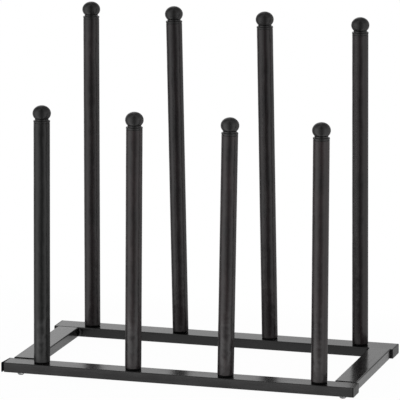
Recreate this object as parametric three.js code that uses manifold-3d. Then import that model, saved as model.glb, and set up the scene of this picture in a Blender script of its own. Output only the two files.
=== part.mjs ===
// Boot rack: a flat base frame of black rectangular steel tube that carries eight upright round
// tubes, four short ones along the front and four tall ones along the back, each with a knob on top.
// Boots hang upside down over the posts.
//
// Millimetres. +X runs along the rack, +Y to its back and +Z up. The origin is on the floor, under
// the middle of the base.

import * as THREE from "three";
import { mergeVertices } from "three/addons/utils/BufferGeometryUtils.js";
import Module from "manifold-3d";

const wasm = await Module();
wasm.setup();

// Base frame
const baseLength = 509;
const baseDepth = 268.4;
const railWidth = 31.2;
const rearRailWidth = 36.8;
const railHeight = 14;
const railWall = 1.2;
const railCornerRadius = 1.6;
const leftRailInset = 5.9;
const rightRailInset = 3.3;
const sideRailRise = 0.8;
const seamGap = 0.7;

// End caps of the long rails
const capFlange = 1.2;
const capEdgeChamfer = 0.3;
const capPlugLength = 10;
const capPlugWall = 1.5;
const capClearance = 0.2;

// The front left cap is not pressed home at its front: it stands turned by this many degrees
const looseCapTurn = 5.2;

// Corner joints: a spigot on each inner face, and a screw from beneath
const spigotLength = 30;
const spigotWall = 1.5;
const spigotClearance = 0.3;
const screwDistance = 16;
const screwDiameter = 5;
const screwHeadDiameter = 9.5;
const screwHeadHeight = 2.2;
const screwHeadBevel = 1.5;
const screwHoleClearance = 0.3;

// Feet
const footHeight = 5.5;
const footDiameter = 11;
const footFlatDiameter = 5;
const footRim = 1.2;

// Posts
const postsPerRail = 4;
const postInset = 52.9;
const postDiameter = 23;
const postWall = 1;
const frontPostReach = 342;
const rearPostReach = 452;

// Each post stands a little out of true, in degrees: first along the rack, with its top to the
// right where the number is positive, and then across it, with its top to the back
const frontPostLeans = [[-0.16, 1.4], [0.44, -0.22], [1, -0.57], [0.17, -0.35]];
const rearPostLeans = [[-0.53, 1.6], [-1.52, 0.8], [-1.15, -0.33], [-0.16, -1.55]];

// Threaded plug in the bottom of each post, whose flange shows under the tube. The flanges aren't
// all as thick: each has this share of the thickest.
const insertFlange = 2.6;
const frontFlangeShares = [0.6, 1, 1, 1];
const rearFlangeShares = [0.4, 0.4, 0.4, 0.6];
const insertFlangeInset = 0.3;
const insertPlugLength = 22;
const insertLeadIn = 1;
const insertClearance = 0.15;
const threadClearance = 0.3;
const seatClearance = 0.15;

// Bolt and washer that hold each post, inside the rail
const boltDiameter = 6;
const boltReach = 18;
const boltHeadAcrossFlats = 10;
const boltHeadHeight = 4;
const boltHoleClearance = 0.5;
const washerDiameter = 12;
const washerThickness = 1.2;
const accessClearance = 1;

// Knob on top of each post: a plug in the tube, a short seat on its end that leaves a fine groove
// under the rim, then the rim, a neck and a flattened ball
const knobPlugLength = 14;
const knobPlugLeadIn = 1;
const knobClearance = 0.15;
const knobSeatHeight = 0.5;
const knobSeatInset = 0.8;
const knobRimProud = 0.2;
const knobRimHeight = 3;
const knobRimRound = 0.8;
const knobNeckInset = 2.2;
const knobNeckHeight = 2;
const knobNeckFillet = 0.6;
const knobRoundShare = 0.45;
const knobBallProud = 3.45;
const knobBallHeight = 22.6;

// How finely round shapes are divided, and how far a cut runs past what it cuts
const cornerSteps = 2;
const postSegments = 24;
const knobSegments = 24;
const knobBallSteps = 7;
const knobRoundSteps = 2;
const smallPartSegments = 14;
const holeSegments = 16;
const footSegments = 18;
const footDomeSteps = 4;
const cutOverrun = 1;
const mergeTolerance = 0.0001;

// Worked out from the sizes above
const railTop = footHeight + railHeight;
const railMiddle = footHeight + railHeight / 2;
const longRailLength = baseLength - 2 * capFlange;
const frontRailY = (railWidth - baseDepth) / 2;
const rearRailY = (baseDepth - rearRailWidth) / 2;
const frontInnerFace = frontRailY + railWidth / 2;
const rearInnerFace = rearRailY - rearRailWidth / 2;
const leftRailX = leftRailInset + (railWidth - baseLength) / 2;
const rightRailX = (baseLength - railWidth) / 2 - rightRailInset;
const sideRailLength = rearInnerFace - frontInnerFace - 2 * seamGap;
const sideRailY = (frontInnerFace + rearInnerFace) / 2;
const capPlugTaper = capPlugLength * Math.sin(THREE.MathUtils.degToRad(looseCapTurn));
const postPitch = (baseLength - 2 * postInset) / (postsPerRail - 1);
const railInnerRadius = Math.max(railCornerRadius - railWall, railCornerRadius / 4);
const postRadius = postDiameter / 2;
const postBore = postRadius - postWall;
const insertFlangeRadius = postRadius - insertFlangeInset;
const screwHoleRadius = screwDiameter / 2 + screwHoleClearance;

const blackSteel = () => new THREE.MeshStandardMaterial({ color: 0x17181a, roughness: 0.3, metalness: 0.35 });
const postSteel = () => new THREE.MeshStandardMaterial({ color: 0x1b1919, roughness: 0.38, metalness: 0.3 });
const knobPlastic = () => new THREE.MeshStandardMaterial({ color: 0x1a1919, roughness: 0.35, metalness: 0 });
const blackPlastic = () => new THREE.MeshStandardMaterial({ color: 0x131314, roughness: 0.5, metalness: 0 });
const zincSteel = () => new THREE.MeshStandardMaterial({ color: 0xb4b6b9, roughness: 0.35, metalness: 1 });
const clearRubber = () => new THREE.MeshStandardMaterial({ color: 0xb9bdbd, roughness: 0.25, metalness: 0 });

// Booleans

function toSolid(geometry) {
  const bare = geometry.clone();
  bare.deleteAttribute("normal");
  bare.deleteAttribute("uv");
  const merged = mergeVertices(bare, mergeTolerance);
  const vertProperties = new Float32Array(merged.attributes.position.array);
  const triVerts = new Uint32Array(merged.index.array);
  return new wasm.Manifold(new wasm.Mesh({ numProp: 3, vertProperties, triVerts }));
}

function toGeometry(solid) {
  const mesh = solid.getMesh();
  const geometry = new THREE.BufferGeometry();
  geometry.setAttribute("position", new THREE.BufferAttribute(new Float32Array(mesh.vertProperties), 3));
  geometry.setIndex(new THREE.BufferAttribute(new Uint32Array(mesh.triVerts), 1));
  geometry.computeVertexNormals();
  return geometry;
}

function cutHoles(geometry, holes) {
  const cut = holes.reduce((solid, hole) => solid.subtract(toSolid(hole)), toSolid(geometry));
  return toGeometry(cut);
}

// Basic shapes

function drawRoundedRectangle(path, width, height, radius) {
  const x = width / 2 - radius;
  const y = height / 2 - radius;
  path.moveTo(x + radius, -y);
  path.absarc(x, y, radius, 0, Math.PI / 2, false);
  path.absarc(-x, y, radius, Math.PI / 2, Math.PI, false);
  path.absarc(-x, -y, radius, Math.PI, 1.5 * Math.PI, false);
  path.absarc(x, -y, radius, 1.5 * Math.PI, 2 * Math.PI, false);
  return path;
}

// The section of a rectangular tube, wide along X and high along Y, with round corners
function tubeSection(width, height, wall, radius, innerRadius) {
  const section = drawRoundedRectangle(new THREE.Shape(), width, height, radius);
  const bore = drawRoundedRectangle(new THREE.Path(), width - 2 * wall, height - 2 * wall, innerRadius);
  section.holes.push(bore);
  return section;
}

function extrude(section, length) {
  const settings = { depth: length, bevelEnabled: false, curveSegments: cornerSteps };
  return new THREE.ExtrudeGeometry(section, settings);
}

// Turns a bar that was extruded up Z so that it runs along Y, with its width along X
const layAlongY = (geometry) => geometry.rotateX(-Math.PI / 2);

// Turns a bar that was extruded up Z so that it runs along X, with its width along Y
const layAlongX = (geometry) => geometry.rotateX(-Math.PI / 2).rotateZ(-Math.PI / 2);

// A solid of revolution about Z, from a profile of radius and height
function turn(profile, segments) {
  const points = profile.map(([radius, height]) => new THREE.Vector2(radius, height));
  return new THREE.LatheGeometry(points, segments).rotateX(Math.PI / 2);
}

function cylinder(radius, bottom, top, segments) {
  const height = top - bottom;
  const geometry = new THREE.CylinderGeometry(radius, radius, height, segments);
  return geometry.rotateX(Math.PI / 2).translate(0, 0, bottom + height / 2);
}

// Points along part of an ellipse, from one angle to another
function arc(centreX, centreY, radiusX, radiusY, from, to, steps) {
  return Array.from({ length: steps + 1 }, (_, step) => {
    const angle = from + ((to - from) * step) / steps;
    return [centreX + radiusX * Math.cos(angle), centreY + radiusY * Math.sin(angle)];
  });
}

function piece(name, geometry, material, x = 0, y = 0, z = 0) {
  const mesh = new THREE.Mesh(geometry, material);
  mesh.name = name;
  mesh.position.set(x, y, z);
  return mesh;
}

// Base frame

const postPlaces = Array.from({ length: postsPerRail }, (_, i) => (i - (postsPerRail - 1) / 2) * postPitch);

const railSection = (width) => tubeSection(width, railHeight, railWall, railCornerRadius, railInnerRadius);

// The section of a short tube that fits inside a rail of some width with a clearance all round
function innerTubeSection(outerWidth, clearance, wall) {
  const width = outerWidth - 2 * (railWall + clearance);
  const height = railHeight - 2 * (railWall + clearance);
  return tubeSection(width, height, wall, railInnerRadius, railInnerRadius / 2);
}

// A long rail, about its own centre: a bolt hole for each post in the top wall, and under it an
// access hole in the bottom wall that lets the bolt's head and washer through
function longRail(width) {
  const tube = layAlongX(extrude(railSection(width), longRailLength).translate(0, 0, -longRailLength / 2));
  const cutHeight = railHeight / 2 + cutOverrun;
  const boltHole = boltDiameter / 2 + boltHoleClearance;
  const accessHole = washerDiameter / 2 + accessClearance;
  const holes = postPlaces.flatMap((x) => [
    cylinder(boltHole, 0, cutHeight, holeSegments).translate(x, 0, 0),
    cylinder(accessHole, -cutHeight, 0, holeSegments).translate(x, 0, 0),
  ]);
  return cutHoles(tube, holes);
}

// A side rail, about its own centre, with a hole near each end for the screw from beneath
function sideRail() {
  const bar = extrude(railSection(railWidth), sideRailLength).translate(0, 0, -sideRailLength / 2);
  const tube = layAlongY(bar);
  const holes = [-1, 1].map((end) => {
    const y = end * (sideRailLength / 2 + seamGap - screwDistance);
    return cylinder(screwHoleRadius, -railHeight / 2 - cutOverrun, 0, holeSegments).translate(0, y, 0);
  });
  return cutHoles(tube, holes);
}

// Narrows a tube, extruded up to Z nought, towards its other end
function narrow(geometry, width, length, taper) {
  const places = geometry.attributes.position;
  for (let i = 0; i < places.count; i += 1) {
    const share = Math.max(-places.getZ(i) / length, 0);
    places.setX(i, places.getX(i) * (1 - (share * 2 * taper) / width));
  }
  return geometry;
}

// A cap for the right end of a long rail: its flange, with both edges chamfered, lies over the
// tube's end at X nought, and its hollow plug fits inside and narrows to its tip
function endCap(width) {
  const outline = drawRoundedRectangle(new THREE.Shape(), width, railHeight, railCornerRadius);
  const flange = new THREE.ExtrudeGeometry(outline, {
    depth: capFlange - 2 * capEdgeChamfer,
    bevelThickness: capEdgeChamfer,
    bevelSize: capEdgeChamfer,
    bevelOffset: -capEdgeChamfer,
    bevelSegments: 1,
    curveSegments: cornerSteps,
  }).translate(0, 0, capEdgeChamfer);
  const plugSection = innerTubeSection(width, capClearance, capPlugWall);
  const bar = extrude(plugSection, capPlugLength + capFlange / 2).translate(0, 0, -capPlugLength);
  const plug = narrow(bar, width, capPlugLength, capPlugTaper);
  return toGeometry(toSolid(layAlongX(flange)).add(toSolid(layAlongX(plug))));
}

// A spigot that starts at Y nought and runs along +Y, with a threaded hole in its bottom wall
function cornerSpigot() {
  const tube = layAlongY(extrude(innerTubeSection(railWidth, spigotClearance, spigotWall), spigotLength));
  const hole = cylinder(screwHoleRadius, -railHeight / 2, 0, holeSegments).translate(0, screwDistance, 0);
  return cutHoles(tube, [hole]);
}

// A pan-head screw, pointing up, with the underside of its head at Z nought. It ends at the
// middle of the rail.
function cornerScrew() {
  const shank = screwDiameter / 2;
  const head = screwHeadDiameter / 2;
  const length = railHeight / 2;
  return turn([
    [0, -screwHeadHeight],
    [head - screwHeadBevel, -screwHeadHeight],
    [head, -screwHeadHeight / 2],
    [head, 0],
    [shank, 0],
    [shank, length],
    [0, length],
  ], smallPartSegments);
}

// A domed bumper that stands on the floor with a small flat, its top against the rail
function foot() {
  const radius = footDiameter / 2;
  const flat = footFlatDiameter / 2;
  const domeHeight = footHeight - footRim;
  const dome = arc(flat, domeHeight, radius - flat, domeHeight, -Math.PI / 2, 0, footDomeSteps);
  return turn([[0, 0], ...dome, [radius, footHeight], [0, footHeight]], footSegments);
}

// Posts, each about the middle of its seat on the rail's top face

function insert(flange) {
  const bore = boltDiameter / 2 + threadClearance;
  const plug = postBore - insertClearance;
  const top = flange + insertPlugLength;
  return turn([
    [bore, 0],
    [insertFlangeRadius, 0],
    [insertFlangeRadius, flange],
    [plug, flange],
    [plug, top - insertLeadIn],
    [plug - insertLeadIn, top],
    [bore, top],
    [bore, 0],
  ], smallPartSegments);
}

function postTube(length) {
  return turn([
    [postBore, 0],
    [postRadius, 0],
    [postRadius, length],
    [postBore, length],
    [postBore, 0],
  ], postSegments);
}

// The underside of the head is at Z nought and the shank runs up from it
function postBolt(shankLength) {
  const headRadius = boltHeadAcrossFlats / 2 / Math.cos(Math.PI / 6);
  const head = cylinder(headRadius, -boltHeadHeight, 0, 6);
  const shank = cylinder(boltDiameter / 2, -boltHeadHeight / 2, shankLength, smallPartSegments);
  return toGeometry(toSolid(head).add(toSolid(shank)));
}

function washer() {
  const bore = boltDiameter / 2 + threadClearance;
  return turn([
    [bore, 0],
    [washerDiameter / 2, 0],
    [washerDiameter / 2, washerThickness],
    [bore, washerThickness],
    [bore, 0],
  ], smallPartSegments);
}

// The underside of the seat is at Z nought
function knob() {
  const plug = postBore - knobClearance;
  const seat = postRadius - knobSeatInset;
  const rim = postRadius + knobRimProud;
  const rimTop = knobSeatHeight + knobRimHeight;
  const neck = rim - knobNeckInset;
  const ball = neck + knobBallProud;
  const ballHalf = knobBallHeight / 2;
  const roundLimit = knobNeckInset * knobRoundShare;
  const round = Math.min(knobRimRound, roundLimit);
  const fillet = Math.min(knobNeckFillet, roundLimit);
  const startAngle = -Math.acos(neck / ball);
  const ballMiddle = rimTop + knobNeckHeight - ballHalf * Math.sin(startAngle);
  const rimEdge = arc(rim - round, rimTop - round, round, round, 0, Math.PI / 2, knobRoundSteps);
  const shelf = rimTop + fillet;
  const neckFoot = arc(neck + fillet, shelf, fillet, fillet, 1.5 * Math.PI, Math.PI, knobRoundSteps);
  const ballSide = arc(0, ballMiddle, ball, ballHalf, startAngle, Math.PI / 2, knobBallSteps).slice(0, -1);
  return turn([
    [0, -knobPlugLength],
    [plug - knobPlugLeadIn, -knobPlugLength],
    [plug, knobPlugLeadIn - knobPlugLength],
    [plug, 0],
    [seat, 0],
    [seat, knobSeatHeight],
    [rim, knobSeatHeight],
    ...rimEdge,
    ...neckFoot,
    ...ballSide,
    [0, ballMiddle + ballHalf],
  ], knobSegments);
}

// A post with everything on it, leaning about its seat. What meets the rail is lifted off it by
// the lean, so that no edge cuts in. The reach is from there to the tube's top.
function post(row, number, reach, leans, flange) {
  const [along, across] = leans.map(THREE.MathUtils.degToRad);
  const lift = (radius) => radius * Math.sin(Math.hypot(along, across)) + seatClearance;
  const seat = lift(insertFlangeRadius);
  const tubeBottom = seat + flange;
  const tubeTop = seat + reach;
  const washerTop = -railWall - lift(washerDiameter / 2);
  const boltHead = washerTop - washerThickness;
  const group = new THREE.Group();
  group.add(
    piece(`${row}_post_insert_${number}`, insert(flange), blackPlastic(), 0, 0, seat),
    piece(`${row}_post_${number}`, postTube(reach - flange), postSteel(), 0, 0, tubeBottom),
    piece(`${row}_knob_${number}`, knob(), knobPlastic(), 0, 0, tubeTop),
    piece(`${row}_post_washer_${number}`, washer(), zincSteel(), 0, 0, boltHead),
    piece(`${row}_post_bolt_${number}`, postBolt(boltReach - boltHead), zincSteel(), 0, 0, boltHead),
  );
  group.rotation.set(-across, along, 0);
  return group;
}

// Assembly

function addLongRail(rack, row, y, width) {
  rack.add(piece(`${row}_rail`, longRail(width), blackSteel(), 0, y, railMiddle));
  for (const [side, end, sideRailX] of [["left", -1, leftRailX], ["right", 1, rightRailX]]) {
    const cap = endCap(width);
    if (end < 0) {
      cap.rotateZ(Math.PI);
    }
    if (row === "front" && side === "left") {
      const turned = THREE.MathUtils.degToRad(looseCapTurn);
      cap.translate(0, -width / 2, 0).rotateZ(-turned).translate(0, width / 2, 0);
    }
    rack.add(piece(`${row}_${side}_end_cap`, cap, blackPlastic(), (end * longRailLength) / 2, y, railMiddle));
    rack.add(piece(`${row}_${side}_foot`, foot(), clearRubber(), sideRailX, y, 0));
  }
}

function addSideRail(rack, side, x) {
  const z = railMiddle + sideRailRise;
  rack.add(piece(`${side}_side_rail`, sideRail(), blackSteel(), x, sideRailY, z));
  for (const [row, face, inward] of [["front", frontInnerFace, 1], ["rear", rearInnerFace, -1]]) {
    const spigot = cornerSpigot();
    if (inward < 0) {
      spigot.rotateZ(Math.PI);
    }
    const screwY = face + inward * screwDistance;
    rack.add(piece(`${row}_${side}_spigot`, spigot, blackSteel(), x, face, z));
    rack.add(piece(`${row}_${side}_corner_screw`, cornerScrew(), zincSteel(), x, screwY, z - railHeight / 2));
  }
}

function addPosts(rack, row, y, reach, leans, flangeShares) {
  postPlaces.forEach((x, i) => {
    const flange = insertFlange * flangeShares[i % flangeShares.length];
    const upright = post(row, i + 1, reach, leans[i % leans.length], flange);
    upright.position.set(x, y, railTop);
    rack.add(upright);
  });
}

const rack = new THREE.Group();
addLongRail(rack, "front", frontRailY, railWidth);
addLongRail(rack, "rear", rearRailY, rearRailWidth);
addSideRail(rack, "left", leftRailX);
addSideRail(rack, "right", rightRailX);
addPosts(rack, "front", frontRailY, frontPostReach, frontPostLeans, frontFlangeShares);
addPosts(rack, "rear", rearRailY, rearPostReach, rearPostLeans, rearFlangeShares);

export default rack;
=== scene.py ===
import math

import bmesh
import bpy
from mathutils import Matrix, Vector


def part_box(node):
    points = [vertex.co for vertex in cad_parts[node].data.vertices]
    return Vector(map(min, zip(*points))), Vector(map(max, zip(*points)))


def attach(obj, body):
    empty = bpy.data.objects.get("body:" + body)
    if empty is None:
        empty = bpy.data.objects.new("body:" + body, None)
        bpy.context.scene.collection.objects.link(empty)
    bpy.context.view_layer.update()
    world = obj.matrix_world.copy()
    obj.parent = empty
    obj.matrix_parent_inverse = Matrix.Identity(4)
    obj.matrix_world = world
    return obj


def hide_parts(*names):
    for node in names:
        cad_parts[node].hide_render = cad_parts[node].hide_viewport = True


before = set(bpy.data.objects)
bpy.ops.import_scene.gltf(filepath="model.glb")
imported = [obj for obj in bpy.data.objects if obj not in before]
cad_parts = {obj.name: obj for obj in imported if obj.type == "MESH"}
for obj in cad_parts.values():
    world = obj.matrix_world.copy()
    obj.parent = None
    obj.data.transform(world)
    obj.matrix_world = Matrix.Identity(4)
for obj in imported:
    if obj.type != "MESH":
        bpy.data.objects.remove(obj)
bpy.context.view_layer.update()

# The looks of a black boot rack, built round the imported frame, in metres. The pieces take their
# places and main sizes from the frame's own nodes, and the values here add what those leave out.

MM = 0.001
ROWS = ("front", "rear")
SIDES = ("left", "right")
POSTS = (1, 2, 3, 4)
BODY = "root"

# Rails
RAIL_WALL = 1.2 * MM
RAIL_CORNER = 1.6 * MM
RAIL_CORNER_STEPS = 8
RAIL_END_ROUND = 0.4 * MM
ACCESS_CLEARANCE = 1 * MM
SCREW_CLEARANCE = 0.3 * MM
BOLT_CLEARANCE = 0.5 * MM
HOLE_SEGMENTS = 40
LEFT_RAIL_FRONT_RISE = 0.45 * MM
LEFT_RAIL_REAR_DROP = 0.9 * MM
BEAD_RADIUS = 3 * MM
BEAD_HALF_HEIGHT = 4.8 * MM
BEAD_SINK = 1.2 * MM
BEAD_SEGMENTS = 32
BEAD_STEPS = 16

# End caps
CAP_FLANGE = 1.2 * MM
CAP_ROUND = 0.5 * MM
CAP_ROUND_STEPS = 5
CAP_CROWN = 0.1 * MM
CAP_FACE_INSET_SHARE = 0.25
CAP_PLUG_LENGTH = 10 * MM
CAP_PLUG_INSET = 1.4 * MM
CAP_PLUG_WALL = 1.5 * MM
LOOSE_CAP_TURN = math.radians(5.2)

# Posts, and what is turned about their centre lines
POST_SEGMENTS = 72
TUBE_EDGE_ROUND = 0.35 * MM
EDGE_STEPS = 4
PLUG_CLEARANCE = 0.15 * MM
INSERT_RIM_ROUND = 0.4 * MM
INSERT_LEAD_IN = 1 * MM
INSERT_PLUG_LENGTH = 22 * MM
WASHER_ROUND = 0.2 * MM
WASHER_SEGMENTS = 40
SHANK_CLEARANCE = 0.3 * MM
HEX_CHAMFER = 0.6 * MM
HEX_CHAMFER_DEPTH = 0.35 * MM
BOLT_HEAD_HEIGHT = 4 * MM
BOLT_LEAD_IN = 0.7 * MM

# Knobs
KNOB_PLUG_LEAD_IN = 1 * MM
KNOB_SEAT_HEIGHT = 0.8 * MM
KNOB_SEAT_INSET = 0.8 * MM
KNOB_RIM_HEIGHT = 2.7 * MM
KNOB_RIM_TOP_ROUND = 0.8 * MM
KNOB_RIM_FOOT_ROUND = 0.35 * MM
KNOB_RIM_PROUD = 0.2 * MM
KNOB_NECK_INSET = 2.2 * MM
KNOB_NECK_FILLET = 0.6 * MM
KNOB_BALL_HEIGHT = 22.6 * MM
KNOB_BALL_STEPS = 28

# Feet and corner screws
FOOT_SEGMENTS = 48
FOOT_RIM = 1.2 * MM
FOOT_RIM_ROUND = 0.3 * MM
FOOT_FLAT = 2.5 * MM
FOOT_DOME_STEPS = 12
SCREW_SEGMENTS = 40
SCREW_HEAD_HEIGHT = 2.2 * MM
SCREW_HEAD_FLAT_SHARE = 0.55
SCREW_SHANK_RADIUS = 2.5 * MM
SCREW_DOME_STEPS = 6
RECESS_WIDTH = 1 * MM
RECESS_LENGTH = 4.6 * MM
RECESS_DEPTH = 1.5 * MM

SHADE_ANGLE = math.radians(40)
FLAT_FACE_WEIGHT = 100
OVERRUN = 1 * MM

# Finishes. Each look is a roughness, a specular level, and a darkest and a lightest colour.
RAIL_LOOKS = {
    "front": (0.23, 0.5, (0.0012, 0.0008, 0.001), (0.0305, 0.0292, 0.0295)),
    # The rear rail's look is a darker, less glossy copy of the front's: painted shade at the back of the
    # rack.
    "rear": (0.18, 0.46, (0.001, 0.001, 0.0011), (0.012, 0.012, 0.0122)),
    "side": (0.18, 0.5, (0.002, 0.002, 0.0021), (0.026, 0.026, 0.0262)),
}
POST_LOOKS = {
    "front": (0.27, 0.5, (0.0045, 0.0034, 0.0038), (0.0243, 0.0151, 0.0159)),
    # The rear posts' look is a darker, less glossy copy of the front's: painted shade at the back of the
    # rack.
    "rear": (0.27, 0.45, (0.0016, 0.0002, 0.0008), (0.016, 0.01, 0.0108)),
    "first": (0.27, 0.43, (0.0012, 0.0012, 0.0012), (0.0088, 0.0088, 0.0088)),
}
KNOB_LOOKS = {
    "front": (0.27, 0.5, (0.0085, 0.0082, 0.0082), (0.011, 0.0105, 0.0105)),
    # The rear knobs' look is a darker, less glossy copy of the front's: painted shade at the back of the
    # rack.
    "rear": (0.27, 0.42, (0.006, 0.0057, 0.0057), (0.0085, 0.008, 0.008)),
    "first": (0.27, 0.42, (0.006, 0.006, 0.006), (0.0085, 0.0085, 0.0085)),
}
CAP_LOOK = (0.4, 0.36, (0.0015, 0.0015, 0.0015), (0.0025, 0.0025, 0.0025))
# Near-black plastic with almost no gloss, for the post inserts; on the caps' plugs it is also painted shade
# in the loose cap's gap.
INSERT_AND_GAP_SHADE_LOOK = (0.55, 0.08, (0.0015, 0.0015, 0.0015), (0.0025, 0.0025, 0.0025))
ZINC_LOOK = (0.33, 0.5, (0.5, 0.51, 0.52), (0.68, 0.69, 0.7))
RUBBER_LOOK = (0.13, 0.5, (0.74, 0.76, 0.76), (0.86, 0.87, 0.87))
COLOUR_NOISE_SHARES = (0.35, 0.65)
ROUGHNESS_NOISE_SHARES = (0.3, 0.7)

# Paint. Its lines are stretched along the tube by DRAWN, its streaks by less, and the rest not.
DRAWN = 60
ALONG_X = (DRAWN, 1, 1)
ALONG_Y = (1, DRAWN, 1)
ALONG_Z = (1, 1, DRAWN)
LINE_SIZE = 1.6 * MM
LINE_DEPTH = 0.004 * MM
STREAK_SIZE = 4 * MM
STREAK_POWER = 0.6
PEEL_SIZE = 1.1 * MM
PEEL_DEPTH = 0.003 * MM
PATCH_SIZE = 50 * MM
PATCH_SHARE = 0.6
RAIL_WAVE = 0.2 * MM
POST_WAVE = 4 * MM
PAINT_ROUGHNESS_SPREAD = 0.04

# Mouldings, zinc and rubber
MOULDING_CLOUD_SIZE = 9 * MM
MOULDING_GRAIN_SIZE = 0.5 * MM
MOULDING_GRAIN_DEPTH = 0.003 * MM
MOULDING_ROUGHNESS_SPREAD = 0.03
ZINC_CLOUD_SIZE = 3 * MM
ZINC_GRAIN_SIZE = 0.3 * MM
ZINC_GRAIN_DEPTH = 0.004 * MM
ZINC_ROUGHNESS_SPREAD = 0.07
RUBBER_CLOUD_SIZE = 2 * MM
RUBBER_ROUGHNESS_SPREAD = 0.05
RUBBER_TRANSMISSION = 0.85
RUBBER_IOR = 1.46


# Shapes

def arc(centre_x, centre_y, radius_x, radius_y, start, end, steps):
    """Points along part of an ellipse, from one angle to another, in degrees."""
    points = []
    for step in range(steps + 1):
        angle = math.radians(start + (end - start) * step / steps)
        points.append((centre_x + radius_x * math.cos(angle), centre_y + radius_y * math.sin(angle)))
    return points


def rounded_rectangle(width, height, radius):
    """A closed loop of points about the origin, anticlockwise."""
    x = width / 2 - radius
    y = height / 2 - radius
    loop = []
    for index, (corner_x, corner_y) in enumerate(((x, y), (-x, y), (-x, -y), (x, -y))):
        loop += arc(corner_x, corner_y, radius, radius, 90 * index, 90 * index + 90, RAIL_CORNER_STEPS)
    return loop


def join_loops(mesh, lower, upper):
    """Faces between two loops with the same number of vertices."""
    count = len(lower)
    for i in range(count):
        j = (i + 1) % count
        mesh.faces.new((lower[i], lower[j], upper[j], upper[i]))


def turned(profile, segments):
    """A solid of revolution about Z, from a closed or axis-to-axis profile of (radius, height)."""
    mesh = bmesh.new()
    closed = profile[0] == profile[-1]
    loops = []
    for radius, height in profile[:-1] if closed else profile:
        if radius == 0:
            loops.append([mesh.verts.new((0, 0, height))])
            continue
        angles = [2 * math.pi * i / segments for i in range(segments)]
        loops.append([mesh.verts.new((radius * math.cos(a), radius * math.sin(a), height)) for a in angles])
    if closed:
        loops.append(loops[0])
    for lower, upper in zip(loops, loops[1:]):
        if len(lower) == len(upper):
            join_loops(mesh, lower, upper)
            continue
        tip, ring = (lower, upper) if len(lower) == 1 else (upper, lower)
        for i in range(segments):
            mesh.faces.new((tip[0], ring[i], ring[(i + 1) % segments]))
    bmesh.ops.recalc_face_normals(mesh, faces=mesh.faces)
    return mesh


def lofted(sections, close=False):
    """A solid through loops of points, its ends filled, or joined round where close is true."""
    mesh = bmesh.new()
    loops = [[mesh.verts.new(point) for point in section] for section in sections]
    for lower, upper in zip(loops, loops[1:]):
        join_loops(mesh, lower, upper)
    if close:
        join_loops(mesh, loops[-1], loops[0])
    else:
        mesh.faces.new(loops[0])
        mesh.faces.new(loops[-1])
    bmesh.ops.recalc_face_normals(mesh, faces=mesh.faces)
    return mesh


def to_object(name, mesh):
    """Turns a bmesh into an object with smooth faces and sharp creases."""
    data = bpy.data.meshes.new(name)
    mesh.to_mesh(data)
    mesh.free()
    data.shade_smooth()
    data.set_sharp_from_angle(angle=SHADE_ANGLE)
    piece = bpy.data.objects.new(name, data)
    bpy.context.scene.collection.objects.link(piece)
    return piece


def apply_modifiers(piece):
    """Keeps the mesh that the piece's modifiers make."""
    graph = bpy.context.evaluated_depsgraph_get()
    made = bpy.data.meshes.new_from_object(piece.evaluated_get(graph))
    old = piece.data
    piece.modifiers.clear()
    piece.data = made
    bpy.data.meshes.remove(old)


def cut(piece, cutters):
    """Takes the cutters' shapes out of the piece."""
    for cutter in cutters:
        modifier = piece.modifiers.new("cut", "BOOLEAN")
        modifier.operation = "DIFFERENCE"
        modifier.solver = "EXACT"
        modifier.object = cutter
    bpy.context.view_layer.update()
    apply_modifiers(piece)
    for cutter in cutters:
        data = cutter.data
        bpy.data.objects.remove(cutter)
        bpy.data.meshes.remove(data)
    piece.data.set_sharp_from_angle(angle=SHADE_ANGLE)


def weight_normals(piece):
    """Lets flat faces keep their own normals beside narrow round edges."""
    modifier = piece.modifiers.new("weighted normals", "WEIGHTED_NORMAL")
    modifier.keep_sharp = True
    modifier.weight = FLAT_FACE_WEIGHT
    apply_modifiers(piece)


def settle(piece, node, material):
    """Gives a piece its finish and puts it in the place of its node."""
    piece.data.transform(piece.matrix_basis)
    piece.matrix_basis = Matrix()
    piece.data.materials.clear()
    piece.data.materials.append(material)
    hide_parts(node)
    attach(piece, BODY)
    return piece


# Places, read from the frame

def middle(node):
    """The centre of a node's box."""
    low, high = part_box(node)
    return (low + high) / 2


def post_line(row, number):
    """The start and direction of a post's centre line, from the two ends of its tube."""
    corners = [v.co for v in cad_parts[f"{row}_post_{number}"].data.vertices]
    halfway = sum(c.z for c in corners) / len(corners)
    ends = []
    for chosen in ([c for c in corners if c.z < halfway], [c for c in corners if c.z >= halfway]):
        low = Vector(map(min, *chosen))
        high = Vector(map(max, *chosen))
        ends.append((low + high) / 2)
    return ends[0], (ends[1] - ends[0]).normalized()


def reach(node, line):
    """How far a node reaches along a line, lowest and highest, and how far from it, least and most."""
    start, direction = line
    along = []
    away = []
    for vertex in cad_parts[node].data.vertices:
        offset = vertex.co - start
        distance = offset.dot(direction)
        along.append(distance)
        away.append((offset - direction * distance).length)
    return min(along), max(along), min(away), max(away)


def stand_on(piece, line):
    """Puts a piece, made about Z, on a line, with its own zero at the line's start."""
    start, direction = line
    turn = Vector((0, 0, 1)).rotation_difference(direction).to_matrix().to_4x4()
    piece.matrix_world = Matrix.Translation(start) @ turn


# Materials

def feed(tree, socket, value):
    """Sets a socket to a number, or links a node's output to it."""
    if isinstance(value, (int, float)):
        socket.default_value = value
    else:
        tree.links.new(value, socket)


def maths(tree, operation, *values):
    """The result of a sum on one or two values."""
    node = tree.nodes.new("ShaderNodeMath")
    node.operation = operation
    for socket, value in zip(node.inputs, values):
        feed(tree, socket, value)
    return node.outputs["Value"]


def smooth_step(tree, value, start, end, first, last):
    """A value that goes from one level to another between two places."""
    step = tree.nodes.new("ShaderNodeMapRange")
    step.interpolation_type = "SMOOTHSTEP"
    for name, number in (("From Min", start), ("From Max", end), ("To Min", first), ("To Max", last)):
        step.inputs[name].default_value = number
    feed(tree, step.inputs["Value"], value)
    return step.outputs["Result"]


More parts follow.
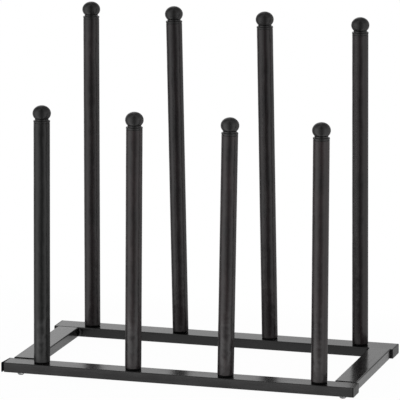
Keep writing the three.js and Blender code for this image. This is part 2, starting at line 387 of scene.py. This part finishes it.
def mixed(tree, share, first, second):
    """The first shader, or the second where the share is 1."""
    node = tree.nodes.new("ShaderNodeMixShader")
    for socket, value in zip(node.inputs, (share, first, second)):
        feed(tree, socket, value)
    return node.outputs["Shader"]


def glow(tree, strength):
    """White light of some strength."""
    node = tree.nodes.new("ShaderNodeEmission")
    feed(tree, node.inputs["Strength"], strength)
    return node.outputs["Emission"]


def seen_directly(tree):
    """1 for the camera's own rays and for those that come through the clear feet."""
    path = tree.nodes.new("ShaderNodeLightPath")
    return maths(tree, "MAXIMUM", path.outputs["Is Camera Ray"], path.outputs["Is Transmission Ray"])


def new_material(name, roughness, specular):
    """A material with its node tree and its shader."""
    material = bpy.data.materials.new(name)
    material.use_nodes = True
    shader = material.node_tree.nodes["Principled BSDF"]
    shader.inputs["Roughness"].default_value = roughness
    shader.inputs["Specular IOR Level"].default_value = specular
    return material, material.node_tree, shader


def noise(tree, size, seed, detail=2, stretch=(1, 1, 1)):
    """Noise with features of about a size, times a stretch along each axis."""
    place = tree.nodes.new("ShaderNodeTexCoord")
    mapping = tree.nodes.new("ShaderNodeMapping")
    mapping.inputs["Location"].default_value = (seed, seed / 2, seed / 3)
    mapping.inputs["Scale"].default_value = [1 / (size * times) for times in stretch]
    pattern = tree.nodes.new("ShaderNodeTexNoise")
    pattern.inputs["Scale"].default_value = 1
    pattern.inputs["Detail"].default_value = detail
    feed(tree, mapping.inputs["Vector"], place.outputs["Object"])
    feed(tree, pattern.inputs["Vector"], mapping.outputs["Vector"])
    return pattern.outputs["Fac"]


def vary_colour(tree, shader, pattern, dark, light):
    """Spreads two colours over the middle of a pattern's range."""
    ramp = tree.nodes.new("ShaderNodeValToRGB")
    for stop, position, colour in zip(ramp.color_ramp.elements, COLOUR_NOISE_SHARES, (dark, light)):
        stop.position = position
        stop.color = (*colour, 1)
    feed(tree, ramp.inputs["Fac"], pattern)
    feed(tree, shader.inputs["Base Color"], ramp.outputs["Color"])


def vary_roughness(tree, shader, pattern, roughness, spread):
    """Spreads the roughness, less and more, over the middle of a pattern's range."""
    span = tree.nodes.new("ShaderNodeMapRange")
    low = roughness - spread
    high = roughness + spread
    start, end = ROUGHNESS_NOISE_SHARES
    for name, number in (("From Min", start), ("From Max", end), ("To Min", low), ("To Max", high)):
        span.inputs[name].default_value = number
    feed(tree, span.inputs["Value"], pattern)
    feed(tree, shader.inputs["Roughness"], span.outputs["Result"])


def add_bump(tree, shader, patterns):
    """Bumps laid over each other, each a pattern with its depth in metres."""
    normal = None
    for pattern, depth in patterns:
        bump = tree.nodes.new("ShaderNodeBump")
        bump.inputs["Strength"].default_value = 1
        bump.inputs["Distance"].default_value = depth
        feed(tree, bump.inputs["Height"], pattern)
        if normal:
            feed(tree, bump.inputs["Normal"], normal)
        normal = bump.outputs["Normal"]
    feed(tree, shader.inputs["Normal"], normal)


def paint(name, stretch, wave, roughness, specular, dark, light):
    """Black paint on steel: orange peel, draw lines and streaks along the tube, patches and slow waves."""
    material, tree, shader = new_material(name, roughness, specular)
    lines = noise(tree, LINE_SIZE, seed=3, detail=4, stretch=stretch)
    shorter = [times ** STREAK_POWER for times in stretch]
    streaks = noise(tree, STREAK_SIZE, seed=7, detail=3, stretch=shorter)
    patches = noise(tree, PATCH_SIZE, seed=17, detail=3)
    peel = noise(tree, PEEL_SIZE, seed=11)
    streak_part = maths(tree, "MULTIPLY", streaks, 1 - PATCH_SHARE)
    patch_part = maths(tree, "MULTIPLY", patches, PATCH_SHARE)
    vary_colour(tree, shader, maths(tree, "ADD", streak_part, patch_part), dark, light)
    vary_roughness(tree, shader, lines, roughness, PAINT_ROUGHNESS_SPREAD)
    add_bump(tree, shader, [(lines, LINE_DEPTH), (peel, PEEL_DEPTH), (patches, wave)])
    return material


def moulded(name, roughness, specular, dark, light):
    """Black moulded plastic with a fine even grain."""
    material, tree, shader = new_material(name, roughness, specular)
    clouds = noise(tree, MOULDING_CLOUD_SIZE, seed=5)
    grain = noise(tree, MOULDING_GRAIN_SIZE, seed=13)
    vary_colour(tree, shader, clouds, dark, light)
    vary_roughness(tree, shader, clouds, roughness, MOULDING_ROUGHNESS_SPREAD)
    add_bump(tree, shader, [(grain, MOULDING_GRAIN_DEPTH)])
    return material


def zinc(name, roughness, specular, dark, light):
    """Bright zinc plate with faint clouding."""
    material, tree, shader = new_material(name, roughness, specular)
    shader.inputs["Metallic"].default_value = 1
    clouds = noise(tree, ZINC_CLOUD_SIZE, seed=2, detail=3)
    grain = noise(tree, ZINC_GRAIN_SIZE, seed=4)
    vary_colour(tree, shader, clouds, dark, light)
    vary_roughness(tree, shader, clouds, roughness, ZINC_ROUGHNESS_SPREAD)
    add_bump(tree, shader, [(grain, ZINC_GRAIN_DEPTH)])
    return material


def rubber(name, roughness, specular, dark, light):
    """Clear, slightly cloudy soft plastic."""
    material, tree, shader = new_material(name, roughness, specular)
    shader.inputs["Transmission Weight"].default_value = RUBBER_TRANSMISSION
    shader.inputs["IOR"].default_value = RUBBER_IOR
    clouds = noise(tree, RUBBER_CLOUD_SIZE, seed=6)
    vary_colour(tree, shader, clouds, dark, light)
    vary_roughness(tree, shader, clouds, roughness, RUBBER_ROUGHNESS_SPREAD)
    return material


rail_paints = {
    "front": paint("rail_paint_front", ALONG_X, RAIL_WAVE, *RAIL_LOOKS["front"]),
    "rear": paint("rail_paint_rear", ALONG_X, RAIL_WAVE, *RAIL_LOOKS["rear"]),
    "side": paint("rail_paint_side", ALONG_Y, RAIL_WAVE, *RAIL_LOOKS["side"]),
}
# The rear paints and the rear knob plastic are darker copies: painted shade at the back of the rack.
post_paints = {key: paint(f"post_paint_{key}", ALONG_Z, POST_WAVE, *POST_LOOKS[key]) for key in POST_LOOKS}
knob_plastics = {key: moulded(f"knob_plastic_{key}", *KNOB_LOOKS[key]) for key in KNOB_LOOKS}
cap_plastic = moulded("cap_plastic", *CAP_LOOK)
insert_plastic = moulded("insert_plastic", *INSERT_AND_GAP_SHADE_LOOK)
zinc_steel = zinc("zinc_steel", *ZINC_LOOK)
clear_rubber = rubber("clear_rubber", *RUBBER_LOOK)


# Base frame

def hole(radius, centre, low, high):
    """A plain upright cutter."""
    profile = [(0, low), (radius, low), (radius, high), (0, high)]
    cutter = to_object("hole", turned(profile, HOLE_SEGMENTS))
    cutter.location = (centre.x, centre.y, 0)
    return cutter


def rail(node, along, holes, material):
    """A rectangular tube along axis 0 or 1 that fills its node's box, open at both ends, with holes."""
    low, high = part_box(node)
    centre = (low + high) / 2
    length = high[along] - low[along]
    across = 1 - along
    width = high[across] - low[across]
    height = high.z - low.z

    def section(distance, inset, radius):
        placed = []
        for u, v in rounded_rectangle(width - 2 * inset, height - 2 * inset, radius):
            point = Vector((0, 0, v))
            point[along] = distance
            point[across] = u
            placed.append(centre + point)
        return placed

    end = length / 2
    inner = RAIL_CORNER - RAIL_WALL
    sections = [
        section(-end, RAIL_END_ROUND, RAIL_CORNER - RAIL_END_ROUND),
        section(-end + RAIL_END_ROUND, 0, RAIL_CORNER),
        section(end - RAIL_END_ROUND, 0, RAIL_CORNER),
        section(end, RAIL_END_ROUND, RAIL_CORNER - RAIL_END_ROUND),
        section(end, RAIL_WALL, inner),
        section(-end, RAIL_WALL, inner),
    ]
    piece = to_object(f"{node}_tube", lofted(sections, close=True))
    cut(piece, [hole(*measures) for measures in holes])
    weight_normals(piece)
    return settle(piece, node, material)


def long_rail(row):
    """A long rail with, for each post, an access hole underneath and a bolt hole above it."""
    low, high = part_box(f"{row}_rail")
    holes = []
    for number in POSTS:
        washer_node = f"{row}_post_washer_{number}"
        _, _, bore, rim = reach(washer_node, post_line(row, number))
        access_top = low.z + RAIL_WALL + OVERRUN
        holes.append((rim + ACCESS_CLEARANCE, middle(washer_node), low.z - OVERRUN, access_top))
        bolt_place = middle(f"{row}_post_bolt_{number}")
        holes.append((bore + BOLT_CLEARANCE, bolt_place, high.z - RAIL_WALL - OVERRUN, high.z + OVERRUN))
    rail(f"{row}_rail", 0, holes, rail_paints[row])


def side_rail(side):
    """A short rail with a screw hole underneath near each end. The left one tilts a little back."""
    low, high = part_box(f"{side}_side_rail")
    radius = SCREW_SHANK_RADIUS + SCREW_CLEARANCE
    holes = []
    for row in ROWS:
        place = middle(f"{row}_{side}_corner_screw")
        holes.append((radius, place, low.z - OVERRUN, low.z + RAIL_WALL + OVERRUN))
    piece = rail(f"{side}_side_rail", 1, holes, rail_paints["side"])
    if side == "left":
        for vertex in piece.data.vertices:
            share = (vertex.co.y - low.y) / (high.y - low.y)
            vertex.co.z += LEFT_RAIL_FRONT_RISE - share * (LEFT_RAIL_FRONT_RISE + LEFT_RAIL_REAR_DROP)


def corner_bead(row, side):
    """A small rounded bead in the inner corner between a long rail and a side rail."""
    long_low, long_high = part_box(f"{row}_rail")
    side_low, side_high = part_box(f"{side}_side_rail")
    profile = arc(0, 0, BEAD_RADIUS, BEAD_HALF_HEIGHT, -90, 90, BEAD_STEPS)
    profile[0] = (0, -BEAD_HALF_HEIGHT)
    profile[-1] = (0, BEAD_HALF_HEIGHT)
    piece = to_object(f"{row}_{side}_corner_bead", turned(profile, BEAD_SEGMENTS))
    x = side_high.x + BEAD_RADIUS if side == "left" else side_low.x - BEAD_RADIUS
    y = long_low.y - BEAD_RADIUS + BEAD_SINK if row == "rear" else long_high.y + BEAD_RADIUS - BEAD_SINK
    piece.location = (x, y, (long_low.z + long_high.z) / 2)
    settle(piece, f"{row}_rail", rail_paints[row])


def end_cap(row, side):
    """A moulded cap: a flange with a rounded rim, and a hollow plug that narrows into the rail. The plug is
    near-black plastic with almost no gloss, painted shade for the dark gap of the loose cap.
    """
    node = f"{row}_{side}_end_cap"
    low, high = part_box(f"{row}_rail")
    centre = (low + high) / 2
    width = high.y - low.y
    height = high.z - low.z
    outward = 1 if side == "right" else -1
    seat = high.x if outward > 0 else low.x
    taper = CAP_PLUG_LENGTH * math.sin(LOOSE_CAP_TURN)

    def section(distance, inset, radius, narrowing=0):
        points = rounded_rectangle(width - 2 * inset - 2 * narrowing, height - 2 * inset, radius)
        return [Vector((outward * distance, u, v)) for u, v in points]

    plug_radius = RAIL_CORNER / 2
    bore_inset = CAP_PLUG_INSET + CAP_PLUG_WALL
    plug_sections = [
        section(0, bore_inset, plug_radius / 2),
        section(-CAP_PLUG_LENGTH, bore_inset, plug_radius / 2, taper),
        section(-CAP_PLUG_LENGTH, CAP_PLUG_INSET, plug_radius, taper),
        section(0, CAP_PLUG_INSET, plug_radius),
    ]
    flange_sections = [section(0, CAP_CROWN, RAIL_CORNER), section(CAP_CROWN, 0, RAIL_CORNER)]
    rim = CAP_FLANGE - CAP_ROUND
    for inset, distance in arc(CAP_ROUND, rim, CAP_ROUND, CAP_ROUND, 180, 90, CAP_ROUND_STEPS):
        flange_sections.append(section(distance, inset, RAIL_CORNER - inset / 2))
    flange_sections.append(section(CAP_FLANGE, height * CAP_FACE_INSET_SHARE, RAIL_CORNER))
    flange = to_object(f"{node}_flange", lofted(flange_sections))
    weight_normals(flange)
    plug = to_object(f"{node}_plug", lofted(plug_sections, close=True))
    place = Matrix.Translation((seat, centre.y, centre.z))
    if row == "front" and side == "left":
        hinge = Matrix.Translation((0, width / 2, 0))
        place = place @ hinge @ Matrix.Rotation(-LOOSE_CAP_TURN, 4, "Z") @ hinge.inverted()
    flange.matrix_basis = place
    plug.matrix_basis = place
    settle(flange, node, cap_plastic)
    # The plug's near-black, almost unglossy plastic is painted shade in the loose cap's gap.
    settle(plug, node, insert_plastic)


def foot(row, side):
    """A clear bumper with a rounded rim under the rail and a dome that ends in a small flat."""
    node = f"{row}_{side}_foot"
    low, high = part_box(node)
    centre = (low + high) / 2
    radius = (high.x - low.x) / 2
    height = high.z - low.z
    dome = height - FOOT_RIM
    profile = [(0, 0)]
    profile += arc(FOOT_FLAT, dome, radius - FOOT_FLAT, dome, -90, 0, FOOT_DOME_STEPS)
    edge = FOOT_RIM_ROUND
    profile += arc(radius - edge, height - edge, edge, edge, 0, 90, EDGE_STEPS)
    profile.append((0, height))
    piece = to_object(f"{node}_bumper", turned(profile, FOOT_SEGMENTS))
    piece.location = (centre.x, centre.y, low.z)
    settle(piece, node, clear_rubber)


def corner_screw(row, side):
    """A pan-head screw, pointing up, with a cross recess in its head."""
    node = f"{row}_{side}_corner_screw"
    low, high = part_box(node)
    centre = (low + high) / 2
    head = (high.y - low.y) / 2
    flat = head * SCREW_HEAD_FLAT_SHARE
    length = high.z - low.z
    profile = [(0, 0)]
    profile += arc(flat, SCREW_HEAD_HEIGHT, head - flat, SCREW_HEAD_HEIGHT, -90, 0, SCREW_DOME_STEPS)
    profile += [(SCREW_SHANK_RADIUS, SCREW_HEAD_HEIGHT), (SCREW_SHANK_RADIUS, length), (0, length)]
    piece = to_object(f"{node}_fastener", turned(profile, SCREW_SEGMENTS))
    slots = []
    for turn in (0, math.pi / 2):
        mesh = bmesh.new()
        bmesh.ops.create_cube(mesh, size=1)
        size = (RECESS_LENGTH, RECESS_WIDTH, 2 * RECESS_DEPTH)
        bmesh.ops.scale(mesh, vec=size, verts=mesh.verts)
        slot = to_object("slot", mesh)
        slot.rotation_euler.z = turn
        slots.append(slot)
    cut(piece, slots)
    piece.location = (centre.x, centre.y, low.z)
    settle(piece, node, zinc_steel)


def hidden_spigot(row, side):
    """The CAD spigot as it is, with its paint."""
    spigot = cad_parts[f"{row}_{side}_spigot"]
    spigot.data.materials.clear()
    spigot.data.materials.append(rail_paints["side"])


# Posts

def finish_key(row, number):
    """Which finish a post and its knob have. The first ones at the front are darker, and the rear ones take
    darker copies, painted shade at the back of the rack.
    """
    return "first" if row == "front" and number == 1 else row


def sleeve(low, high, bore, radius, edge):
    """The profile of a plain sleeve with rounded outer edges."""
    profile = [(bore, low)]
    profile += arc(radius - edge, low + edge, edge, edge, -90, 0, EDGE_STEPS)
    profile += arc(radius - edge, high - edge, edge, edge, 0, 90, EDGE_STEPS)
    profile += [(bore, high), (bore, low)]
    return profile


def tube(row, number, line):
    """A round steel tube with lightly rounded ends."""
    node = f"{row}_post_{number}"
    profile = sleeve(*reach(node, line), TUBE_EDGE_ROUND)
    piece = to_object(f"{node}_tube", turned(profile, POST_SEGMENTS))
    stand_on(piece, line)
    weight_normals(piece)
    settle(piece, node, post_paints[finish_key(row, number)])


def insert(row, number, line):
    """The threaded plug under the tube: its flange shows as a dark ring on the rail."""
    node = f"{row}_post_insert_{number}"
    low, high, bore, radius = reach(node, line)
    _, _, tube_bore, _ = reach(f"{row}_post_{number}", line)
    plug = tube_bore - PLUG_CLEARANCE
    edge = INSERT_RIM_ROUND
    shelf = high - INSERT_PLUG_LENGTH
    profile = [(bore, low)]
    profile += arc(radius - edge, low + edge, edge, edge, -90, 0, EDGE_STEPS)
    profile += [(radius, shelf), (plug, shelf), (plug, high - INSERT_LEAD_IN)]
    profile += [(plug - INSERT_LEAD_IN, high), (bore, high), (bore, low)]
    piece = to_object(f"{node}_moulding", turned(profile, POST_SEGMENTS))
    stand_on(piece, line)
    settle(piece, node, insert_plastic)


def washer(row, number, line):
    """A flat washer under the bolt's head."""
    node = f"{row}_post_washer_{number}"
    profile = sleeve(*reach(node, line), WASHER_ROUND)
    piece = to_object(f"{node}_ring", turned(profile, WASHER_SEGMENTS))
    stand_on(piece, line)
    settle(piece, node, zinc_steel)


def bolt(row, number, line):
    """A hexagon-head bolt, pointing up, with a chamfered head."""
    node = f"{row}_post_bolt_{number}"
    low, high, _, corner = reach(node, line)
    _, _, washer_bore, _ = reach(f"{row}_post_washer_{number}", line)
    shank = washer_bore - SHANK_CLEARANCE
    shoulder = low + BOLT_HEAD_HEIGHT
    inner = corner * math.cos(math.pi / 6)

    def ring(height, radius_at):
        points = []
        for i in range(POST_SEGMENTS):
            angle = 2 * math.pi * i / POST_SEGMENTS - math.pi / 2
            radius = radius_at(angle)
            points.append((radius * math.cos(angle), radius * math.sin(angle), height))
        return points

    def hexagon(angle):
        from_flat = (angle + math.pi / 2) % (math.pi / 3) - math.pi / 6
        return inner / math.cos(from_flat)

    def chamfered(angle):
        return min(hexagon(angle), inner)

    sections = [
        ring(low, lambda angle: inner - HEX_CHAMFER),
        ring(low + HEX_CHAMFER_DEPTH, chamfered),
        ring(low + 2 * HEX_CHAMFER_DEPTH, hexagon),
        ring(shoulder, hexagon),
        ring(shoulder, lambda angle: shank),
        ring(high - BOLT_LEAD_IN, lambda angle: shank),
        ring(high, lambda angle: shank - BOLT_LEAD_IN),
    ]
    piece = to_object(f"{node}_fastener", lofted(sections))
    stand_on(piece, line)
    settle(piece, node, zinc_steel)


def knob(row, number, line):
    """A turned knob: a plug in the tube, a fine groove, a rim, a neck and a flattened ball."""
    node = f"{row}_knob_{number}"
    low, high, _, ball = reach(node, line)
    _, post_top, bore, post_radius = reach(f"{row}_post_{number}", line)
    plug = bore - PLUG_CLEARANCE
    seat = post_radius - KNOB_SEAT_INSET
    rim = post_radius + KNOB_RIM_PROUD
    rim_foot = post_top + KNOB_SEAT_HEIGHT
    rim_top = rim_foot + KNOB_RIM_HEIGHT
    neck = rim - KNOB_NECK_INSET
    half = KNOB_BALL_HEIGHT / 2
    centre = high - half
    start = -math.degrees(math.acos(neck / ball))
    lower = KNOB_RIM_FOOT_ROUND
    upper = KNOB_RIM_TOP_ROUND
    fillet = KNOB_NECK_FILLET
    profile = [(0, low), (plug - KNOB_PLUG_LEAD_IN, low), (plug, low + KNOB_PLUG_LEAD_IN), (plug, post_top)]
    profile += [(seat, post_top), (seat, rim_foot)]
    profile += arc(rim - lower, rim_foot + lower, lower, lower, -90, 0, EDGE_STEPS)
    profile += arc(rim - upper, rim_top - upper, upper, upper, 0, 90, EDGE_STEPS)
    profile += arc(neck + fillet, rim_top + fillet, fillet, fillet, 270, 180, EDGE_STEPS)
    profile += arc(0, centre, ball, half, start, 90, KNOB_BALL_STEPS)[:-1]
    profile.append((0, high))
    piece = to_object(f"{node}_turning", turned(profile, POST_SEGMENTS))
    stand_on(piece, line)
    settle(piece, node, knob_plastics[finish_key(row, number)])


for row in ROWS:
    long_rail(row)
for side in SIDES:
    side_rail(side)
for row in ROWS:
    for side in SIDES:
        end_cap(row, side)
        corner_bead(row, side)
        foot(row, side)
        corner_screw(row, side)
        hidden_spigot(row, side)
    for number in POSTS:
        centre_line = post_line(row, number)
        tube(row, number, centre_line)
        insert(row, number, centre_line)
        washer(row, number, centre_line)
        bolt(row, number, centre_line)
        knob(row, number, centre_line)


# Studio

CAMERA_AZIMUTH = math.radians(16.17)
CAMERA_ELEVATION = math.radians(11.76)
CAMERA_ROLL = math.radians(0.10)
CAMERA_DISTANCE = 5.725
CAMERA_AIM = Vector((-0.0040, -0.0022, 0.2420))
SENSOR = 36
PHOTO_PIXELS = 400
FOCAL_PIXELS = 4056

# The studio's level round the rack, by the angle to the right of the camera, in degrees.
STUDIO_LEVELS = (
    (-180, 0.885), (-172, 1.14), (-150, 0.62), (-130, 0.32), (-112, 0.5), (-96, 0.86), (-76, 1.48),
    (-58, 1.5), (-43, 1.15), (-28, 0.78), (-14, 0.4), (0, 0.2), (12, 0.33), (28, 0.68), (42, 1.08),
    (58, 1.16), (74, 0.84), (94, 0.92), (115, 0.55), (140, 0.44), (160, 0.44), (172, 0.56), (180, 0.885),
)
CEILING_LEVEL = 0.6
CEILING_START = math.sin(math.radians(20))
CEILING_END = math.sin(math.radians(45))

# The floor sheet. Its fade and shade shares go from its middle, 0, to its edges, 1, and its lengths
# are those of a ray between the sheet and a glossy piece.
FLOOR_REACH = Vector((0.5, 0.45))
FLOOR_WHITE = 0.9
FLOOR_SEEN_GLOW_SHARE = 0.98
FLOOR_FADE_SHARE = 0.6
FLOOR_NEAR_END = 90 * MM
FLOOR_FAR_START = 105 * MM
FLOOR_NEAR_GLOW = 1.45
FLOOR_NEAR_GLOW_SHARE = 0.35
# Seen in the gloss from afar, the floor holds a painted pool of light in front of the rack and a painted
# shade round and between the rails.
FLOOR_FAR_GLOW = 1.1
FLOOR_FAR_GLOW_START = 280 * MM
FLOOR_FAR_GLOW_END = 380 * MM
FLOOR_SHADE = 0.45
FLOOR_SHADE_START_SHARE = 0.4
FLOOR_SHADE_END_SHARE = 0.54


def add_camera():
    """The photograph's camera, aimed at a point in the rack."""
    sin_a = math.sin(CAMERA_AZIMUTH)
    cos_a = math.cos(CAMERA_AZIMUTH)
    sin_e = math.sin(CAMERA_ELEVATION)
    cos_e = math.cos(CAMERA_ELEVATION)
    back = Vector((sin_a * cos_e, -cos_a * cos_e, sin_e))
    level = Vector((cos_a, sin_a, 0))
    up = back.cross(level)
    right = math.cos(CAMERA_ROLL) * level + math.sin(CAMERA_ROLL) * up
    up = back.cross(right)
    data = bpy.data.cameras.new("camera")
    data.sensor_width = SENSOR
    data.lens = SENSOR * FOCAL_PIXELS / PHOTO_PIXELS
    camera = bpy.data.objects.new("camera", data)
    turn = Matrix((right, up, back)).transposed().to_4x4()
    camera.matrix_world = Matrix.Translation(CAMERA_AIM + back * CAMERA_DISTANCE) @ turn
    bpy.context.scene.collection.objects.link(camera)
    bpy.context.scene.camera = camera


def add_world():
    """A studio: white to the camera, with soft boxes and dark gaps round the rack for the gloss."""
    world = bpy.data.worlds.new("studio")
    bpy.context.scene.world = world
    world.use_nodes = True
    tree = world.node_tree
    studio = tree.nodes["Background"]
    output = tree.nodes["World Output"]
    place = tree.nodes.new("ShaderNodeTexCoord")
    axes = tree.nodes.new("ShaderNodeSeparateXYZ")
    feed(tree, axes.inputs["Vector"], place.outputs["Generated"])
    behind = maths(tree, "MULTIPLY", axes.outputs["Y"], -1)
    azimuth = maths(tree, "ARCTAN2", axes.outputs["X"], behind)
    turns = maths(tree, "DIVIDE", azimuth, 2 * math.pi)
    share = maths(tree, "FRACT", maths(tree, "ADD", turns, 0.5 - CAMERA_AZIMUTH / (2 * math.pi)))
    ramp = tree.nodes.new("ShaderNodeValToRGB")
    feed(tree, ramp.inputs["Fac"], share)
    stops = ramp.color_ramp.elements
    while len(stops) < len(STUDIO_LEVELS):
        stops.new(0.5)
    for stop, (angle, level) in zip(stops, STUDIO_LEVELS):
        stop.position = (angle + 180) / 360
        stop.color = (level, level, level, 1)
    feed(tree, studio.inputs["Color"], ramp.outputs["Color"])
    ceiling = smooth_step(tree, axes.outputs["Z"], CEILING_START, CEILING_END, 1, CEILING_LEVEL)
    feed(tree, studio.inputs["Strength"], ceiling)
    white = tree.nodes.new("ShaderNodeBackground")
    white.inputs["Color"].default_value = (1, 1, 1, 1)
    whole = mixed(tree, seen_directly(tree), studio.outputs["Background"], white.outputs["Background"])
    feed(tree, output.inputs["Surface"], whole)


def far_floor(tree, outward, forward, ray_length):
    """The floor in the gloss from afar: the studio shows through it, darker near its middle, a painted
    shade round and between the rails.

    In front of the rack it also glows, a painted pool of light, fading towards the sheet's edges and over
    longer rays.
    """
    shade_start = FLOOR_SHADE_START_SHARE
    shade_end = FLOOR_SHADE_END_SHARE
    clear = tree.nodes.new("ShaderNodeBsdfTransparent")
    shade = smooth_step(tree, outward, shade_start, shade_end, FLOOR_SHADE, 1)
    feed(tree, clear.inputs["Color"], shade)
    rising = smooth_step(tree, forward, shade_start, shade_end, 0, FLOOR_FAR_GLOW)
    falling = smooth_step(tree, outward, FLOOR_FADE_SHARE, 1, 1, 0)
    fading = smooth_step(tree, ray_length, FLOOR_FAR_GLOW_START, FLOOR_FAR_GLOW_END, 1, 0)
    shine = maths(tree, "MULTIPLY", maths(tree, "MULTIPLY", rising, falling), fading)
    both = tree.nodes.new("ShaderNodeAddShader")
    feed(tree, both.inputs[0], clear.outputs["BSDF"])
    feed(tree, both.inputs[1], glow(tree, shine))
    return both.outputs["Shader"]


def floor_white():
    """White to the camera with the rack's faint shadow, fading to plain white at the sheet's edges.

    In the paint's gloss it glows less close by, so that its shadows are deeper there.
    """
    material = bpy.data.materials.new("floor_white")
    material.use_nodes = True
    tree = material.node_tree
    tree.nodes.remove(tree.nodes["Principled BSDF"])
    path = tree.nodes.new("ShaderNodeLightPath")
    place = tree.nodes.new("ShaderNodeTexCoord")
    axes = tree.nodes.new("ShaderNodeSeparateXYZ")
    feed(tree, axes.inputs["Vector"], place.outputs["Object"])
    across = maths(tree, "DIVIDE", axes.outputs["X"], FLOOR_REACH.x)
    forward = maths(tree, "DIVIDE", axes.outputs["Y"], -FLOOR_REACH.y)
    outward = maths(tree, "MAXIMUM", maths(tree, "ABSOLUTE", across), maths(tree, "ABSOLUTE", forward))
    ray_length = path.outputs["Ray Length"]
    matt = tree.nodes.new("ShaderNodeBsdfDiffuse")
    matt.inputs["Color"].default_value = (FLOOR_WHITE, FLOOR_WHITE, FLOOR_WHITE, 1)
    near = mixed(tree, FLOOR_NEAR_GLOW_SHARE, matt.outputs["BSDF"], glow(tree, FLOOR_NEAR_GLOW))
    far = far_floor(tree, outward, forward, ray_length)
    distance = smooth_step(tree, ray_length, FLOOR_NEAR_END, FLOOR_FAR_START, 0, 1)
    in_gloss = mixed(tree, distance, near, far)
    unseen = mixed(tree, path.outputs["Is Glossy Ray"], matt.outputs["BSDF"], in_gloss)
    share = smooth_step(tree, outward, FLOOR_FADE_SHARE, 1, FLOOR_SEEN_GLOW_SHARE, 1)
    whole = mixed(tree, maths(tree, "MULTIPLY", seen_directly(tree), share), unseen, glow(tree, 1))
    feed(tree, tree.nodes["Material Output"].inputs["Surface"], whole)
    return material


def add_floor():
    """A white sheet under the rack."""
    x, y = FLOOR_REACH
    mesh = bmesh.new()
    mesh.faces.new([mesh.verts.new(corner) for corner in ((-x, -y, 0), (x, -y, 0), (x, y, 0), (-x, y, 0))])
    floor = to_object("floor_sheet", mesh)
    floor.data.materials.append(floor_white())


add_camera()
add_world()
add_floor()
bpy.context.scene.view_settings.view_transform = "Standard"
